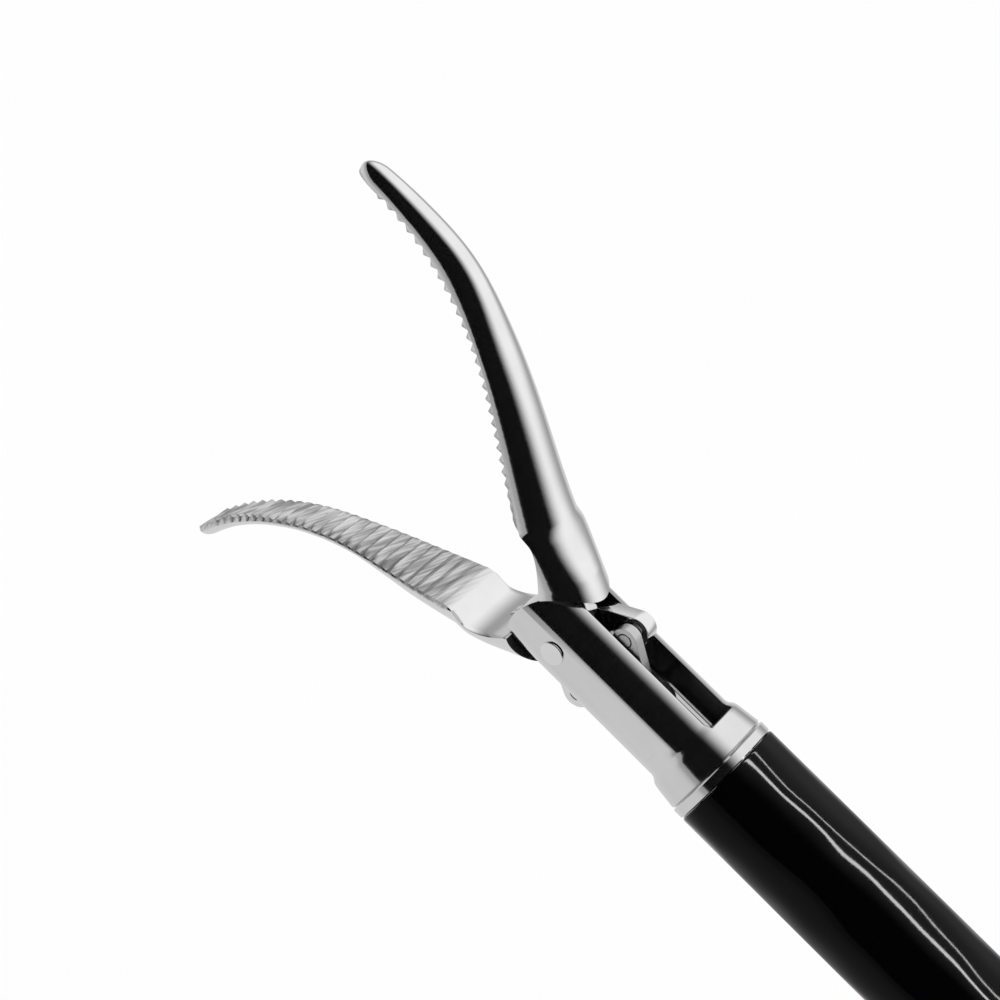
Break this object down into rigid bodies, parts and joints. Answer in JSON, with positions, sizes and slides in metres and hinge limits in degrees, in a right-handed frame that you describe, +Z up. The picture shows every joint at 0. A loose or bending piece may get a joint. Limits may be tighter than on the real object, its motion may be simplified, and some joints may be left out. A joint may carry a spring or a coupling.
{
  "type": "laparoscopic grasper",
  "caption": "Curved double-action laparoscopic grasper: toothed open jaws, linkage in a forked clevis, insulated rotating shaft, ring handle with thumb lever and electrode post.",
  "frame": {"origin": "centre of the bottom of the instrument's box, under the shaft's axis, jaws open", "axes": "+X along the shaft towards the jaws, +Y along the jaw pivot towards the side with the screw heads, +Z up from the finger rings to the electrode post"},
  "size_m": [0.4324, 0.0234, 0.1181],
  "materials": {
    "jaw_steel": "mirror-polished stainless steel, satin tooth faces",
    "link_steel": "plain machined stainless steel",
    "clevis_steel": "polished stainless steel",
    "screw_steel": "turned stainless steel",
    "sheath_plastic": "glossy black insulation",
    "knob_plastic": "satin black moulding",
    "handle_plastic": "semi-gloss black moulding",
    "white_ptfe": "white low-friction plastic",
    "seal_rubber": "black silicone"
  },
  "bodies": {
    "handle": {"handle_half_left": "handle_plastic", "handle_half_right": "handle_plastic", "handle_screw_1": "screw_steel", "handle_screw_2": "screw_steel", "handle_screw_3": "screw_steel", "lever_pivot_pin": "screw_steel", "electrode_post": "screw_steel", "post_insulator": "knob_plastic"},
    "shaft": {"rotation_knob": "knob_plastic", "tube_collar": "clevis_steel", "tube_lock_nut": "clevis_steel", "inner_tube": "clevis_steel", "insulation_sheath": "sheath_plastic", "collar_ring": "clevis_steel", "clevis": "clevis_steel", "jaw_pivot_pin": "jaw_steel", "rod_guide_bush": "white_ptfe", "rod_seal": "seal_rubber"},
    "rod": {"push_rod": "link_steel", "rod_tongue": "link_steel", "rod_ball": "link_steel", "rod_lock_nut": "link_steel", "rod_cross_pin": "link_steel"},
    "upper_jaw": {"upper_jaw": "jaw_steel", "upper_link_pin": "link_steel"},
    "lower_jaw": {"lower_jaw": "jaw_steel", "lower_link_pin": "link_steel"},
    "upper_link": {"upper_link": "link_steel"},
    "lower_link": {"lower_link": "link_steel"},
    "thumb_lever": {"thumb_lever": "handle_plastic"}
  },
  "joints": [
    {"name": "shaft_turn", "type": "hinge", "parent": "handle", "child": "shaft", "pos_m": [-0.13, 0, 0.09206], "axis": [1, 0, 0], "continuous": true},
    {"name": "lever_squeeze", "type": "hinge", "parent": "handle", "child": "thumb_lever", "pos_m": [-0.16416, 0, 0.08687], "axis": [0, -1, 0], "range_deg": [0, 16.5]},
    {"name": "rod_pull", "type": "slide", "parent": "shaft", "child": "rod", "axis": [-1, 0, 0], "range_m": [0, 0.00151]},
    {"name": "upper_jaw_close", "type": "hinge", "parent": "shaft", "child": "upper_jaw", "pos_m": [0.19814, 0, 0.09206], "axis": [0, 1, 0], "range_deg": [0, 33]},
    {"name": "lower_jaw_close", "type": "hinge", "parent": "shaft", "child": "lower_jaw", "pos_m": [0.19814, 0, 0.09206], "axis": [0, -1, 0], "range_deg": [0, 33]},
    {"name": "upper_link_swing", "type": "hinge", "parent": "upper_jaw", "child": "upper_link", "pos_m": [0.1964, 0, 0.09], "axis": [0, -1, 0], "range_deg": [0, 59]},
    {"name": "lower_link_swing", "type": "hinge", "parent": "lower_jaw", "child": "lower_link", "pos_m": [0.1964, 0, 0.09413], "axis": [0, 1, 0], "range_deg": [0, 59]}
  ],
  "couplings": [
    {"joint": "rod_pull", "follows": "lever_squeeze", "m_per_rad": 0.005229},
    {"joint": "upper_jaw_close", "follows": "lever_squeeze", "ratio": 2},
    {"joint": "lower_jaw_close", "follows": "lever_squeeze", "ratio": 2},
    {"joint": "upper_link_swing", "follows": "lever_squeeze", "ratio": 3.5748},
    {"joint": "lower_link_swing", "follows": "lever_squeeze", "ratio": 3.5748}
  ]
}
